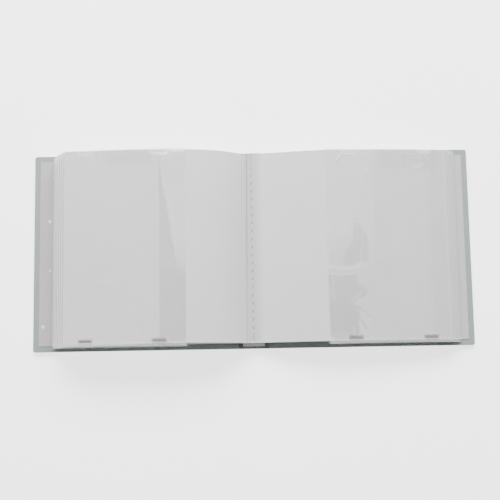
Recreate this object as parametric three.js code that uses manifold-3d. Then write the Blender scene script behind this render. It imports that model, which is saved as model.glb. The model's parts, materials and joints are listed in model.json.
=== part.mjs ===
// Baby photo album, lying open near its middle on a table.
//
// Millimetres. X runs across the two pages, Y up the page, Z up from the table. The origin is at
// the middle of the spine, on the table. The left half is built once and the right half is its
// mirror, with its own leaf heights, because the left leaves stand higher.

import * as THREE from 'three';
import * as BufferGeometryUtils from 'three/addons/utils/BufferGeometryUtils.js';
import Module from 'manifold-3d';

// Case
const COVER_HEIGHT = 172;
const COVER_REACH = 190;
const BOARD_THICKNESS = 2.5;
const CLOTH_THICKNESS = 0.4;
const CORNER_RADIUS = 1.6;
const EDGE_ROUNDING = 0.35;
const TURN_IN = 15;
const BOARD_PLAY = 0.05;
const SPINE_HALF_WIDTH = 9.3;
const SPINE_BOARD_THICKNESS = 1.6;
const JOINT_WIDTH = 3.4;
const JOINT_PLAY = 0.3;

// Hinge of each cover, inside its cloth joint
const HINGE_INSET = 0.4;
const HINGE_HEIGHT = 1.9;

// Endpaper
const ENDPAPER_THICKNESS = 0.3;
const ENDPAPER_MARGIN = 5;
const ENDPAPER_SET_BACK = 0.5;

// Leaf block
const LEAVES_PER_SIDE = 8;
const LEAF_HEIGHT = 164.5;
const LEAF_OFFSET = 1.0;
const CARD_THICKNESS = 0.35;
const POCKETED_THICKNESS = 0.55;
const LEAF_CLEARANCE = 0.3;
const CLOSED_PITCH = 0.85;
const FLEX_SEGMENTS = 12;
const LEAF_SEGMENTS = 12;

// Glued and sewn back of the block
const LINER_THICKNESS = 0.8;
const LINER_MARGIN = 2;
const LINER_CLEARANCE = 0.4;
const BACK_CLEARANCE = 0.3;
const FOLD_HALF_GAP = 0.45;
const FOLD_HEIGHT = 9.0;
const FOLD_LEDGE = 0.9;
const GLUE_DEPTH = 0.7;

// Sewing
const THREAD_WIDTH = 0.5;
const STITCH_PITCH = 7;
const STITCH_SHOWN = 4.4;
const STITCH_DROP = 1.1;
const STITCH_RAMP = 0.5;
const THREAD_END_MARGIN = 3;

// Film pocket on each open page. The leaf bends freely up to a little before it.
const FLEX_MARGIN = 1.5;
const POCKET_EDGE_INSET = 0.4;
const POCKET_PAST_TAIL = 2.6;
const POCKET_PAST_HEAD = 1.2;
const POCKET_GAP = 0.3;
const POCKET_RAMP = 2;
const FILM_THICKNESS = 0.25;
const FILM_COLUMNS = 16;
const FILM_ROWS = 14;

// Notches in the head and tail of each leaf, where the films of its two faces are welded together
const NOTCH_LENGTH = 13.5;
const NOTCH_DEPTH = 4;
const NOTCH_RADIUS = 1;
const NOTCH_FROM_INNER = 22;
const NOTCH_FROM_OUTER = 18.5;

// The two fans of leaves. The sewing stands a little left of the middle of each folded sheet, so
// the right leaves are longer. Heights are above the table, at the middle of the top leaf's card,
// and the runs and the rise shape its bend from the fold to the knee beside the pocket.
const SIDES = {
  left: {
    sign: -1, leafLength: 164.5, pocketStart: 56.5, kneeHeight: 33.5, foreEdgeHeight: 31, bulge: 2.6,
    foldRun: 8, kneeRun: 39, kneeRise: 3.5, pocketPuff: 0.45,
  },
  right: {
    sign: 1, leafLength: 170, pocketStart: 64.5, kneeHeight: 22, foreEdgeHeight: 13, bulge: 2.2,
    foldRun: 7, kneeRun: 41, kneeRise: 4, pocketPuff: 1.0,
  },
};

// Values worked out from the sizes above
const BOARD_START = SPINE_HALF_WIDTH + JOINT_WIDTH;
const HINGE_X = BOARD_START - HINGE_INSET;
const BOARD_TOP = CLOTH_THICKNESS + BOARD_PLAY + BOARD_THICKNESS + BOARD_PLAY;
const CLOTH_TOP = BOARD_TOP + CLOTH_THICKNESS;
const ENDPAPER_TOP = CLOTH_TOP + BOARD_PLAY + ENDPAPER_THICKNESS;
const LOWEST_LEAF = ENDPAPER_TOP + LEAF_CLEARANCE + POCKETED_THICKNESS / 2;
const SPINE_BOARD_TOP = CLOTH_THICKNESS + BOARD_PLAY + SPINE_BOARD_THICKNESS;
const SPINE_CLOTH_TOP = SPINE_BOARD_TOP + BOARD_PLAY + CLOTH_THICKNESS;
const LINER_BOTTOM = SPINE_CLOTH_TOP + LINER_CLEARANCE;
const BACK_BOTTOM = LINER_BOTTOM + LINER_THICKNESS + BACK_CLEARANCE;
const CLOSED_COVER_FACE = HINGE_X - (ENDPAPER_TOP - HINGE_HEIGHT);
const CLOSED_LOWEST_LEAF = CLOSED_COVER_FACE - LEAF_CLEARANCE - POCKETED_THICKNESS / 2;

const MATERIALS = {
  cloth: new THREE.MeshStandardMaterial({ color: 0xb3b8b7, roughness: 0.62, metalness: 0 }),
  board: new THREE.MeshStandardMaterial({ color: 0x9d968b, roughness: 0.95, metalness: 0 }),
  endpaper: new THREE.MeshStandardMaterial({ color: 0xbebbbc, roughness: 0.7, metalness: 0 }),
  leaf: new THREE.MeshStandardMaterial({ color: 0xd4d2d2, roughness: 0.8, metalness: 0 }),
  film: new THREE.MeshStandardMaterial({
    color: 0xd2d0d1, roughness: 0.25, metalness: 0, transparent: true, opacity: 0.5,
  }),
  liner: new THREE.MeshStandardMaterial({ color: 0xc9c7c7, roughness: 0.9, metalness: 0 }),
  thread: new THREE.MeshStandardMaterial({ color: 0xdedcdc, roughness: 0.8, metalness: 0 }),
};

const wasm = await Module();
wasm.setup();

// A closed three.js geometry as a solid that can be cut and joined.
function toSolid(geometry) {
  const bare = geometry.clone();
  bare.deleteAttribute('normal');
  bare.deleteAttribute('uv');
  const merged = BufferGeometryUtils.mergeVertices(bare, 1e-4);
  return new wasm.Manifold(new wasm.Mesh({
    numProp: 3,
    vertProperties: new Float32Array(merged.attributes.position.array),
    triVerts: new Uint32Array(merged.index.array),
  }));
}

function toGeometry(solid) {
  const mesh = solid.getMesh();
  const geometry = new THREE.BufferGeometry();
  geometry.setAttribute('position', new THREE.BufferAttribute(new Float32Array(mesh.vertProperties), 3));
  geometry.setIndex(new THREE.BufferAttribute(new Uint32Array(mesh.triVerts), 1));
  geometry.computeVertexNormals();
  return geometry;
}

// A box given by its lowest and highest corners.
function block(low, high) {
  const geometry = new THREE.BoxGeometry(high[0] - low[0], high[1] - low[1], high[2] - low[2]);
  geometry.translate((low[0] + high[0]) / 2, (low[1] + high[1]) / 2, (low[2] + high[2]) / 2);
  return geometry;
}

// An outline in X and Z, run along Y from low to high.
function prism(outline, low, high) {
  const geometry = new THREE.ExtrudeGeometry(new THREE.Shape(outline), { depth: high - low, bevelEnabled: false });
  geometry.rotateX(Math.PI / 2);
  geometry.translate(0, high, 0);
  return geometry;
}

// The outline of a strip of the given thickness along a line of points.
function strip(points, thicknessAt) {
  const upper = [];
  const lower = [];
  points.forEach((point, index) => {
    const before = points[Math.max(index - 1, 0)];
    const after = points[Math.min(index + 1, points.length - 1)];
    const along = new THREE.Vector2().subVectors(after, before).normalize();
    const across = new THREE.Vector2(-along.y, along.x).multiplyScalar(thicknessAt(point) / 2);
    upper.push(point.clone().add(across));
    lower.push(point.clone().sub(across));
  });
  const outline = [...upper, ...lower.reverse()];
  return THREE.ShapeUtils.area(outline) < 0 ? outline.reverse() : outline;
}

function mirrored(points) {
  return points.map((point) => new THREE.Vector2(-point.x, point.y)).reverse();
}

// Where the leaves of one side lie. Distances run outwards from the gutter.
function fan(side) {
  const leaves = [];
  for (let index = 0; index < LEAVES_PER_SIDE; index += 1) {
    const share = index / (LEAVES_PER_SIDE - 1);
    const blend = (low, high) => low + share * (high - low);
    const knee = new THREE.Vector2(side.pocketStart - FLEX_MARGIN, blend(LOWEST_LEAF, side.kneeHeight));
    const margin = marginCurve(side, share, knee);
    const marginLength = margin.getLength();
    const foreEdgeHeight = blend(LOWEST_LEAF, side.foreEdgeHeight);
    const reach = Math.sqrt((side.leafLength - marginLength) ** 2 - (foreEdgeHeight - knee.y) ** 2);
    leaves.push({
      index, share, knee, margin, marginLength,
      foreEdge: new THREE.Vector2(knee.x + reach, foreEdgeHeight),
      bulge: share * side.bulge,
      closedPlace: CLOSED_LOWEST_LEAF - index * CLOSED_PITCH,
    });
  }
  return leaves;
}

// The bound margin of one leaf, from the glued back out to the knee beside the pocket.
function marginCurve(side, share, knee) {
  const between = (low, high) => new THREE.Vector2().lerpVectors(low, high, share);
  const lowest = LOWEST_LEAF;
  const rootLow = new THREE.Vector2(SPINE_HALF_WIDTH - GLUE_DEPTH, lowest);
  const rootHigh = new THREE.Vector2(FOLD_HALF_GAP + GLUE_DEPTH, FOLD_HEIGHT);
  const third = (knee.x - rootLow.x) / 3;
  const root = between(rootLow, rootHigh);
  const leave = between(new THREE.Vector2(rootLow.x + third, lowest),
    new THREE.Vector2(rootHigh.x + side.foldRun, FOLD_HEIGHT));
  const arrive = between(new THREE.Vector2(knee.x - third, lowest),
    new THREE.Vector2(knee.x - side.kneeRun, side.kneeHeight - side.kneeRise));
  return new THREE.CubicBezierCurve(root, leave, arrive, knee);
}

// Height of a leaf at a share of the way from its knee to its fore-edge.
function leafHeight(leaf, along) {
  const straight = leaf.knee.y + along * (leaf.foreEdge.y - leaf.knee.y);
  return straight + leaf.bulge * 4 * along * (1 - along);
}

function leafPoint(leaf, along) {
  const distance = leaf.knee.x + JOINT_PLAY + along * (leaf.foreEdge.x - leaf.knee.x - JOINT_PLAY);
  return new THREE.Vector2(distance, leafHeight(leaf, along));
}

// The axis about which the outer part of a leaf swings when the album closes: the one point
// that takes it from lying at its own height to standing in its own place in the closed block.
function leafHinge(leaf) {
  const slope = Math.atan2(leaf.foreEdge.y - leaf.knee.y, leaf.foreEdge.x - leaf.knee.x);
  const turn = Math.PI / 2 - slope;
  const sine = Math.sin(turn);
  const cosine = Math.cos(turn);
  const open = new THREE.Vector2(-leaf.knee.x, leaf.knee.y);
  const closed = new THREE.Vector2(-leaf.closedPlace, BACK_BOTTOM + leaf.marginLength);
  const restX = closed.x - (open.x * cosine + open.y * sine);
  const restZ = closed.y - (-open.x * sine + open.y * cosine);
  const scale = 1 / ((1 - cosine) ** 2 + sine ** 2);
  return {
    distance: -scale * ((1 - cosine) * restX + sine * restZ),
    height: scale * ((1 - cosine) * restZ - sine * restX),
    turnDegrees: THREE.MathUtils.radToDeg(turn),
  };
}

function leafEnds() {
  return [LEAF_OFFSET - LEAF_HEIGHT / 2, LEAF_OFFSET + LEAF_HEIGHT / 2];
}

// The outline on the right of the gutter, mirrored for the left.
function facing(side, outline) {
  return side.sign > 0 ? outline : mirrored(outline);
}

function makeLeaf(side, leaf) {
  const points = [];
  for (let step = 0; step <= LEAF_SEGMENTS; step += 1) points.push(leafPoint(leaf, step / LEAF_SEGMENTS));
  const isTop = leaf.index === LEAVES_PER_SIDE - 1;
  const thicknessAt = (point) => {
    const inPocket = THREE.MathUtils.smoothstep(point.x, side.pocketStart - POCKET_RAMP,
      side.pocketStart + POCKET_RAMP);
    return isTop ? CARD_THICKNESS : THREE.MathUtils.lerp(CARD_THICKNESS, POCKETED_THICKNESS, inPocket);
  };
  let card = toSolid(prism(facing(side, strip(points, thicknessAt)), ...leafEnds()));
  const notch = toSolid(makeNotch(leaf.knee.y + leaf.foreEdge.y));
  [side.pocketStart + NOTCH_FROM_INNER, leaf.foreEdge.x - NOTCH_FROM_OUTER].forEach((distance) => {
    leafEnds().forEach((end) => {
      card = card.subtract(notch.translate([side.sign * distance, end, 0]));
    });
  });
  return toGeometry(card);
}

// What a notch takes away, centred on the leaf's edge and tall enough to pass through any leaf.
function makeNotch(height) {
  const half = NOTCH_LENGTH / 2;
  const turn = NOTCH_RADIUS;
  const shape = new THREE.Shape();
  shape.moveTo(-half, 0);
  shape.lineTo(-half, NOTCH_DEPTH - turn);
  shape.quadraticCurveTo(-half, NOTCH_DEPTH, turn - half, NOTCH_DEPTH);
  shape.lineTo(half - turn, NOTCH_DEPTH);
  shape.quadraticCurveTo(half, NOTCH_DEPTH, half, NOTCH_DEPTH - turn);
  shape.lineTo(half, turn - NOTCH_DEPTH);
  shape.quadraticCurveTo(half, -NOTCH_DEPTH, half - turn, -NOTCH_DEPTH);
  shape.lineTo(turn - half, -NOTCH_DEPTH);
  shape.quadraticCurveTo(-half, -NOTCH_DEPTH, -half, turn - NOTCH_DEPTH);
  return new THREE.ExtrudeGeometry(shape, { depth: height, bevelEnabled: false, curveSegments: 3 });
}

// The bound margins of one side: a glued wedge on the back with the margin of each leaf standing
// out of it, as one body.
function makeBoundMargins(side, leaves) {
  const [low, high] = leafEnds();
  const foldTop = FOLD_HEIGHT + CARD_THICKNESS / 2;
  const wedge = [
    [SPINE_HALF_WIDTH, BACK_BOTTOM], [SPINE_HALF_WIDTH, LOWEST_LEAF + CARD_THICKNESS / 2],
    [FOLD_HALF_GAP + FOLD_LEDGE, foldTop], [FOLD_HALF_GAP, foldTop], [FOLD_HALF_GAP, BACK_BOTTOM],
  ].map(([x, z]) => new THREE.Vector2(x, z));
  let solid = toSolid(prism(facing(side, wedge), low, high));
  leaves.forEach((leaf) => {
    const outline = facing(side, strip(leaf.margin.getPoints(FLEX_SEGMENTS), () => CARD_THICKNESS));
    solid = solid.add(toSolid(prism(outline, low, high)));
  });
  return toGeometry(solid);
}

// One running thread: it shows on the page for most of each stitch and dips through the fold
// between them.
function makeThread() {
  const [low, high] = leafEnds();
  const shown = FOLD_HEIGHT + CARD_THICKNESS / 2 + THREAD_WIDTH / 2;
  const hidden = shown - STITCH_DROP;
  const count = Math.floor((high - low - 2 * THREAD_END_MARGIN) / STITCH_PITCH);
  const start = LEAF_OFFSET - (count * STITCH_PITCH) / 2;
  const upper = [];
  for (let stitch = 0; stitch < count; stitch += 1) {
    const at = start + stitch * STITCH_PITCH;
    upper.push([at, hidden], [at + STITCH_RAMP, shown], [at + STITCH_RAMP + STITCH_SHOWN, shown],
      [at + 2 * STITCH_RAMP + STITCH_SHOWN, hidden]);
  }
  const outline = [
    ...upper.map(([y, z]) => new THREE.Vector2(y, z)),
    ...upper.map(([y, z]) => new THREE.Vector2(y, z - THREAD_WIDTH)).reverse(),
  ].reverse();
  const geometry = new THREE.ExtrudeGeometry(new THREE.Shape(outline), { depth: THREAD_WIDTH, bevelEnabled: false });
  geometry.rotateX(Math.PI / 2);
  geometry.rotateZ(Math.PI / 2);
  geometry.translate(-THREAD_WIDTH / 2, 0, 0);
  return geometry;
}

// The film pocket over the outer part of the top leaf: a thin sheet that bows up between its
// welds and reaches a little past the card at head and tail.
function makePocket(side, leaf) {
  const [low, high] = leafEnds();
  const reach = leaf.foreEdge.x - leaf.knee.x;
  const inner = side.pocketStart;
  const outer = leaf.foreEdge.x - POCKET_EDGE_INSET;
  const filmTop = [];
  const filmBottom = [];
  for (let row = 0; row <= FILM_ROWS; row += 1) {
    const up = row / FILM_ROWS;
    const y = THREE.MathUtils.lerp(low - POCKET_PAST_TAIL, high + POCKET_PAST_HEAD, up);
    for (let column = 0; column <= FILM_COLUMNS; column += 1) {
      const across = column / FILM_COLUMNS;
      const distance = THREE.MathUtils.lerp(inner, outer, across);
      const page = leafHeight(leaf, (distance - leaf.knee.x) / reach) + CARD_THICKNESS / 2;
      const puff = side.pocketPuff * Math.sin(Math.PI * up) * Math.cos((Math.PI / 2) * across);
      const height = page + POCKET_GAP + puff;
      filmBottom.push([side.sign * distance, y, height]);
      filmTop.push([side.sign * distance, y, height + FILM_THICKNESS]);
    }
  }
  return closedSheet(filmTop, filmBottom, FILM_COLUMNS + 1, FILM_ROWS + 1, side.sign > 0);
}

// A closed body from two grids of points, one above the other.
function closedSheet(top, bottom, columns, rows, facesUp) {
  const positions = [...top, ...bottom].flat();
  const offset = top.length;
  const faces = [];
  const add = (a, b, c) => faces.push(...(facesUp ? [a, b, c] : [a, c, b]));
  for (let row = 0; row < rows - 1; row += 1) {
    for (let column = 0; column < columns - 1; column += 1) {
      const a = row * columns + column;
      const b = a + 1;
      const c = a + columns;
      const d = c + 1;
      add(a, b, d);
      add(a, d, c);
      add(offset + a, offset + d, offset + b);
      add(offset + a, offset + c, offset + d);
    }
  }
  const rim = [];
  for (let column = 0; column < columns; column += 1) rim.push(column);
  for (let row = 1; row < rows; row += 1) rim.push(row * columns + columns - 1);
  for (let column = columns - 2; column >= 0; column -= 1) rim.push((rows - 1) * columns + column);
  for (let row = rows - 2; row >= 1; row -= 1) rim.push(row * columns);
  rim.forEach((from, index) => {
    const to = rim[(index + 1) % rim.length];
    add(from, offset + from, offset + to);
    add(from, offset + to, to);
  });
  const geometry = new THREE.BufferGeometry();
  geometry.setAttribute('position', new THREE.BufferAttribute(new Float32Array(positions), 3));
  geometry.setIndex(faces);
  return geometry;
}

// The covering of one board: wrapped round its outer edges and turned in on its inner face.
function makeCoverCloth(side) {
  const half = COVER_HEIGHT / 2;
  const rounding = EDGE_ROUNDING;
  const outline = new THREE.Shape();
  const inner = side.sign * BOARD_START;
  const outer = side.sign * (COVER_REACH - rounding);
  const turn = side.sign * CORNER_RADIUS;
  outline.moveTo(inner, -half + rounding);
  outline.lineTo(outer - turn, -half + rounding);
  outline.quadraticCurveTo(outer, -half + rounding, outer, -half + rounding + CORNER_RADIUS);
  outline.lineTo(outer, half - rounding - CORNER_RADIUS);
  outline.quadraticCurveTo(outer, half - rounding, outer - turn, half - rounding);
  outline.lineTo(inner, half - rounding);
  const wrapped = new THREE.ExtrudeGeometry(outline, {
    depth: CLOTH_TOP - 2 * rounding, bevelThickness: rounding, bevelSize: rounding, bevelSegments: 2, curveSegments: 4,
  });
  wrapped.translate(0, 0, rounding);
  const across = (from, to, yHalf, low, high) => {
    const xs = [side.sign * from, side.sign * to].sort((a, b) => a - b);
    return toSolid(block([xs[0], -yHalf, low], [xs[1], yHalf, high]));
  };
  const past = 5;
  const boardSpace = across(BOARD_START - past, COVER_REACH - CLOTH_THICKNESS, half - CLOTH_THICKNESS,
    CLOTH_THICKNESS, BOARD_TOP);
  const window = across(BOARD_START - past, COVER_REACH - TURN_IN, half - TURN_IN, BOARD_TOP - 1, CLOTH_TOP + past);
  const beyondJoint = across(BOARD_START - past, BOARD_START, half + past, -past, CLOTH_TOP + past);
  return toGeometry(toSolid(wrapped).subtract(boardSpace).subtract(window).subtract(beyondJoint));
}

function makeCoverBoard(side) {
  const half = COVER_HEIGHT / 2 - CLOTH_THICKNESS - BOARD_PLAY;
  const xs = [side.sign * BOARD_START, side.sign * (COVER_REACH - CLOTH_THICKNESS - BOARD_PLAY)].sort((a, b) => a - b);
  const low = CLOTH_THICKNESS + BOARD_PLAY;
  return block([xs[0], -half, low], [xs[1], half, low + BOARD_THICKNESS]);
}

function makeEndpaper(side) {
  const half = COVER_HEIGHT / 2 - ENDPAPER_MARGIN;
  const xs = [side.sign * (BOARD_START + ENDPAPER_SET_BACK), side.sign * (COVER_REACH - ENDPAPER_MARGIN)]
    .sort((a, b) => a - b);
  return block([xs[0], -half, ENDPAPER_TOP - ENDPAPER_THICKNESS], [xs[1], half, ENDPAPER_TOP]);
}

// The covering of the spine board, turned in at its head and tail.
function makeSpineCloth() {
  const half = COVER_HEIGHT / 2;
  const wide = SPINE_HALF_WIDTH;
  const past = 5;
  const whole = toSolid(block([-wide, -half, 0], [wide, half, SPINE_CLOTH_TOP]));
  const boardSpace = toSolid(block([-wide - past, -half + CLOTH_THICKNESS, CLOTH_THICKNESS],
    [wide + past, half - CLOTH_THICKNESS, SPINE_CLOTH_TOP - CLOTH_THICKNESS]));
  const window = toSolid(block([-wide - past, -half + TURN_IN, CLOTH_THICKNESS],
    [wide + past, half - TURN_IN, SPINE_CLOTH_TOP + past]));
  return toGeometry(whole.subtract(boardSpace).subtract(window));
}

function makeSpineBoard() {
  const half = COVER_HEIGHT / 2 - CLOTH_THICKNESS - BOARD_PLAY;
  return block([-SPINE_HALF_WIDTH, -half, SPINE_BOARD_TOP - SPINE_BOARD_THICKNESS],
    [SPINE_HALF_WIDTH, half, SPINE_BOARD_TOP]);
}

// The flexing cloth between the spine board and one cover board.
function makeJointCloth(side) {
  const half = COVER_HEIGHT / 2;
  const xs = [side.sign * (SPINE_HALF_WIDTH + JOINT_PLAY), side.sign * (BOARD_START - JOINT_PLAY)].sort((a, b) => a - b);
  return block([xs[0], -half, 0], [xs[1], half, CLOTH_THICKNESS]);
}

function makeBackLiner() {
  const half = COVER_HEIGHT / 2 - LINER_MARGIN;
  return block([-SPINE_HALF_WIDTH, -half, LINER_BOTTOM], [SPINE_HALF_WIDTH, half, LINER_BOTTOM + LINER_THICKNESS]);
}

const album = new THREE.Group();

function add(name, geometry, material) {
  const mesh = new THREE.Mesh(geometry, material);
  mesh.name = name;
  album.add(mesh);
  return mesh;
}

add('spine_board', makeSpineBoard(), MATERIALS.board);
add('spine_cloth', makeSpineCloth(), MATERIALS.cloth);
add('back_liner', makeBackLiner(), MATERIALS.liner);
add('sewing_thread', makeThread(), MATERIALS.thread);

Object.entries(SIDES).forEach(([name, side]) => {
  const leaves = fan(side);
  add(`joint_cloth_${name}`, makeJointCloth(side), MATERIALS.cloth);
  add(`cover_board_${name}`, makeCoverBoard(side), MATERIALS.board);
  add(`cover_cloth_${name}`, makeCoverCloth(side), MATERIALS.cloth)
    .userData.hinge = { distance: HINGE_X, height: HINGE_HEIGHT, turnDegrees: 90 };
  add(`endpaper_${name}`, makeEndpaper(side), MATERIALS.endpaper);
  add(`bound_margins_${name}`, makeBoundMargins(side, leaves), MATERIALS.leaf);
  leaves.forEach((leaf) => {
    const mesh = add(`leaf_${name}_${leaf.index + 1}`, makeLeaf(side, leaf), MATERIALS.leaf);
    mesh.userData.hinge = leafHinge(leaf);
  });
  add(`photo_pocket_${name}`, makePocket(side, leaves[leaves.length - 1]), MATERIALS.film);
});

export default album;
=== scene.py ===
"""Baby photo album, lying open near its middle: the finish of every surface.

Metres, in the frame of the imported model: X across the two pages, Y up the page, Z up.
Sizes are given in millimetres where they repeat the model's own, and MM turns them into metres.
"""

import json
import math
import random

import bmesh
import bpy
import numpy as np
from mathutils import Matrix, Vector


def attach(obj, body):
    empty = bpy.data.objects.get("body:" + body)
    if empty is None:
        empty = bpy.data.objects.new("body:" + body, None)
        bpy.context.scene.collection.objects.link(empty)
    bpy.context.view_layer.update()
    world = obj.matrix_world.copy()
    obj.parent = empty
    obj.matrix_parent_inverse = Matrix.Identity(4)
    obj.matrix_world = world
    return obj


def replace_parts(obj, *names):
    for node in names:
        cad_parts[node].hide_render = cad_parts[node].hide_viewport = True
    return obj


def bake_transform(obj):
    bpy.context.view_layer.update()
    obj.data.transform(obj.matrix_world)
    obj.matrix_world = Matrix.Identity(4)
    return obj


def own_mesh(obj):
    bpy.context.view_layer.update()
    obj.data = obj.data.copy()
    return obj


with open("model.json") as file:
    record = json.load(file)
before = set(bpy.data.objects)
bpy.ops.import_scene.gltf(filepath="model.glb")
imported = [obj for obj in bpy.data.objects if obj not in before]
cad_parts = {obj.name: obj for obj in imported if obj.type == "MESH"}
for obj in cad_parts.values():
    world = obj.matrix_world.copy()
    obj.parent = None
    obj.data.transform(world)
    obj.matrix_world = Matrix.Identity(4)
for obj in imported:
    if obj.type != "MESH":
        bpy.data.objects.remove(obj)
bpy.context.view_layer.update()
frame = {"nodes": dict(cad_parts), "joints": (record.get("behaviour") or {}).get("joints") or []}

MM = 0.001

# The album's own sizes, in millimetres
LEAVES_PER_SIDE = 8
LEAF_HEIGHT = 164.5
LEAF_OFFSET = 1.0
LEAF_LOW = LEAF_OFFSET - LEAF_HEIGHT / 2
LEAF_HIGH = LEAF_OFFSET + LEAF_HEIGHT / 2
CARD = 0.35
LOWEST_LEAF = 4.325
FLEX_MARGIN = 1.5
SPINE_HALF = 9.3
BOARD_START = 12.7
GLUE_DEPTH = 0.7
FOLD_HALF_GAP = 0.45
FOLD_HEIGHT = 9.0
BACK_BOTTOM = 4.0
COVER_HALF = 86
CLOTH = 0.4
JOINT_ARCH = 0.35
POCKET_EDGE_INSET = 0.4
POCKET_PAST_TAIL = 2.6
POCKET_PAST_HEAD = 1.2
NOTCH_LENGTH = 13.5
NOTCH_DEPTH = 4
NOTCH_RADIUS = 1
NOTCH_FROM_INNER = 22
NOTCH_FROM_OUTER = 18.5
STITCH_PITCH = 7
STITCH_SHOWN = 4.4
STITCH_HIDDEN = 1.0
STITCH_DIP = 0.5
THREAD_RADIUS = 0.45
THREAD_LIFT = 0.05
THREAD_END_MARGIN = 3

# On the left side the films of the covered leaves are painted lighter toward the fore-edge: a painted highlight on
# the fan.
SIDES = {
    "left": dict(sign=-1, length=164.5, pocket=56.5, knee_height=33.5, fore_height=31, bulge=2.6,
                 fold_run=8, knee_run=39, knee_rise=3.5, fan_edge_highlight=0.45, seed=3.1),
    "right": dict(sign=1, length=170, pocket=64.5, knee_height=22, fore_height=13, bulge=2.2,
                  fold_run=7, knee_run=41, knee_rise=4, fan_edge_highlight=0, seed=8.7),
}

# Two crease lines on each left leaf: distance from the fold at mid-height, depth, and strength of the painted shade
# in them. They stand a little closer to the fold at the head, by CREASE_SLANT for each millimetre up the page. The
# first CREASED_SHARE of a top leaf's inner strip is drawn in CREASED_STEPS, fine enough for them.
CREASES = ((5.2, 0.26, 0.9), (10.8, 0.10, 0.25))
CREASE_SLANT = 0.0146
CREASE_WIDTH = 0.95
CREASED_SHARE = 0.42
CREASED_STEPS = 60
# The grey painted in the crease lines as their shade.
CREASE_SHADE_GREY = (0.35, 0.34, 0.35)

# Where the tone of the card changes. Along a leaf from the fold: the painted shade of the fold goes, and the
# painted shade of the fore-edge comes. Up a leaf: the painted shade in the crease lines grows clear. The tail edge
# has a painted highlight of this half width.
CARD_SHADE_GREY = (0.55, 0.54, 0.56)
FOLD_SHADE = (1.5, 11.5)
FORE_EDGE_SHADE_SPAN = (150, 160)
CREASE_FADE = (-45, -5)
TAIL_HIGHLIGHT_WIDTH = 2.6

# The inner strip of a leaf: what stays of its hump in the closed album. Inside the glued back: its spare length, its
# least length, the step by which it is cut back, how far above the bottom it ends in the closed album, in how many
# points it is drawn, and how deep it runs below the roots and below its own start.
STRIP_KEPT = 0.06
STRIP_SPARE = 0.4
STRIP_LEAST = 0.15
STRIP_CUT = 0.05
STRIP_CLEAR = 0.1
ROOT_STEPS = 5
ROOT_DEPTH = 0.55
ROOT_DROP = 0.05

# How finely the sheets are drawn (grids in columns and rows) and the closing of the album is followed
MARGIN_STEPS = 40
OUTER_STEPS = 36
SHEET_ROWS = 40
OPEN_FILM_GRID = (150, 200)
COVERED_FILM_GRID = (34, 44)
WELD_GRID = (40, 12)
JOINT_GRID = (12, 60)
CLOSING_STEPS = 10

# The patterns of card and film shift by this many metres from leaf to leaf
PATTERN_STEP = 0.01


def smooth(low, high, value):
    share = np.clip((value - low) / (high - low), 0.0, 1.0)
    return share * share * (3 - 2 * share)


def bump(centre, width, value):
    """A soft hill of height 1 at centre, gone at width to either side."""
    reach = np.minimum(np.abs(value - centre) / width, 1.0)
    return (1 - reach * reach) ** 2


def wave(distance, y, seed):
    """Slow uneven waves, between -1 and 1."""
    return (np.sin(distance / 41 + seed) * np.cos(y / 33 + 1.7 * seed)
            + 0.6 * np.sin(distance / 23 - y / 47 + 2.3 * seed)) / 1.6


# Materials


def new_material(name, base, roughness, **inputs):
    """A material, its node tree and its one shader."""
    material = bpy.data.materials.new(name)
    material.use_nodes = True
    tree = material.node_tree
    shader = tree.nodes["Principled BSDF"]
    shader.inputs["Base Color"].default_value = (*base, 1)
    shader.inputs["Roughness"].default_value = roughness
    for key, value in inputs.items():
        shader.inputs[key.replace("_", " ")].default_value = value
    return material, tree, shader


def add_node(tree, kind, inputs=None, **settings):
    node = tree.nodes.new(kind)
    for key, value in settings.items():
        setattr(node, key, value)
    for key, value in (inputs or {}).items():
        if isinstance(value, bpy.types.NodeSocket):
            tree.links.new(value, node.inputs[key])
        else:
            node.inputs[key].default_value = value
    return node


def place(tree, scale, attribute=None):
    """Coordinates in units of one over scale metres, fixed to the piece."""
    if attribute:
        source = add_node(tree, "ShaderNodeAttribute", attribute_name=attribute).outputs["Vector"]
    else:
        source = add_node(tree, "ShaderNodeTexCoord").outputs["Object"]
    mapping = add_node(tree, "ShaderNodeMapping", {"Vector": source})
    mapping.inputs["Scale"].default_value = scale if isinstance(scale, tuple) else (scale,) * 3
    return mapping.outputs["Vector"]


def noise_of(tree, scale, detail=3.0, roughness=0.5, attribute=None):
    return add_node(tree, "ShaderNodeTexNoise", {
        "Vector": place(tree, scale, attribute), "Scale": 1.0, "Detail": detail, "Roughness": roughness,
    }).outputs["Fac"]


def weave_of(tree, scale, distortion):
    """The threads of a cloth, first those in one direction and then those in the other."""
    inputs = {"Vector": place(tree, 1.0), "Scale": scale, "Distortion": distortion, "Detail": 2.0}
    return [add_node(tree, "ShaderNodeTexWave", inputs, bands_direction=direction).outputs["Fac"]
            for direction in "XY"]


def ramp(tree, value, *stops):
    """A colour or grey value from a factor: stops are (position, colour)."""
    node = add_node(tree, "ShaderNodeValToRGB", {"Fac": value})
    elements = node.color_ramp.elements
    while len(elements) < len(stops):
        elements.new(0.5)
    for element, (position, colour) in zip(elements, stops):
        element.position = position
        element.color = (*colour, 1) if isinstance(colour, tuple) else (colour, colour, colour, 1)
    return node.outputs["Color"]


def mix_colour(tree, factor, first, second):
    node = add_node(tree, "ShaderNodeMix", data_type="RGBA")
    for socket, kind, value in (("Factor", "VALUE", factor), ("A", "RGBA", first), ("B", "RGBA", second)):
        target = next(i for i in node.inputs if i.name == socket and i.type == kind)
        if isinstance(value, bpy.types.NodeSocket):
            tree.links.new(value, target)
        else:
            target.default_value = (*value, 1) if isinstance(value, tuple) else value
    return next(o for o in node.outputs if o.type == "RGBA")


def math_node(tree, operation, first, second=0.0):
    node = add_node(tree, "ShaderNodeMath", operation=operation)
    for index, value in enumerate((first, second)):
        if isinstance(value, bpy.types.NodeSocket):
            tree.links.new(value, node.inputs[index])
        else:
            node.inputs[index].default_value = value
    return node.outputs[0]


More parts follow.
